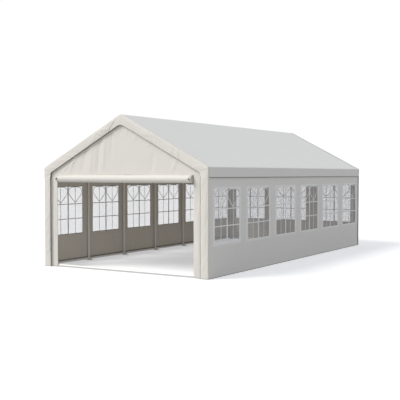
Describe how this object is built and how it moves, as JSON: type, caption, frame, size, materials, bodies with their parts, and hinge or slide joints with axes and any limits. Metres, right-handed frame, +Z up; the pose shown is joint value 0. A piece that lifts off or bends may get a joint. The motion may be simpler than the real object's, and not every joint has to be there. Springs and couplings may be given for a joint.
{
  "type": "marquee tent",
  "caption": "Gable-roofed marquee tent: steel tube portals under a fabric cover, windows with printed bars in its long walls and rear wall, and a rolled up door in the open front.",
  "frame": {"origin": "on the ground, in the middle of the width and of the whole length", "axes": "+Z up, +Y along the ridge from the open front to the rear wall, +X to the right as seen by someone facing the front who looks along +Y"},
  "size_m": [4.0752, 8.215, 3.1606],
  "materials": {
    "steel_tube": "light grey coated steel tube, satin",
    "roof_fabric": "light grey-white coated sheet, soft sheen",
    "side_fabric": "off-white coated sheet, soft sheen",
    "cream_fabric": "cream coated sheet, soft sheen",
    "clear_film": "clear flexible window film with printed bars",
    "strap": "dark webbing strap with a dark plastic buckle"
  },
  "bodies": {
    "root": {"frame_1": "steel_tube", "frame_2": "steel_tube", "frame_3": "steel_tube", "frame_4": "steel_tube", "frame_5": "steel_tube", "frame_6": "steel_tube", "frame_7": "steel_tube", "ridge_rail": "steel_tube", "left_eave_rail": "steel_tube", "right_eave_rail": "steel_tube", "left_ground_rail": "steel_tube", "right_ground_rail": "steel_tube", "front_ground_rail": "steel_tube", "rear_ground_rail": "steel_tube", "roof_cover": "roof_fabric", "left_wall": "side_fabric", "right_wall": "side_fabric", "front_gable": "cream_fabric", "front_trim": "cream_fabric", "rear_trim": "cream_fabric", "rear_wall": "cream_fabric", "door_roll": "cream_fabric", "left_door_strap": "strap", "right_door_strap": "strap", "left_window_1": "clear_film", "left_window_2": "clear_film", "left_window_3": "clear_film", "left_window_4": "clear_film", "left_window_5": "clear_film", "left_window_6": "clear_film", "right_window_1": "clear_film", "right_window_2": "clear_film", "right_window_3": "clear_film", "right_window_4": "clear_film", "right_window_5": "clear_film", "right_window_6": "clear_film", "rear_window_1": "clear_film", "rear_window_2": "clear_film", "rear_window_3": "clear_film"}
  },
  "joints": []
}
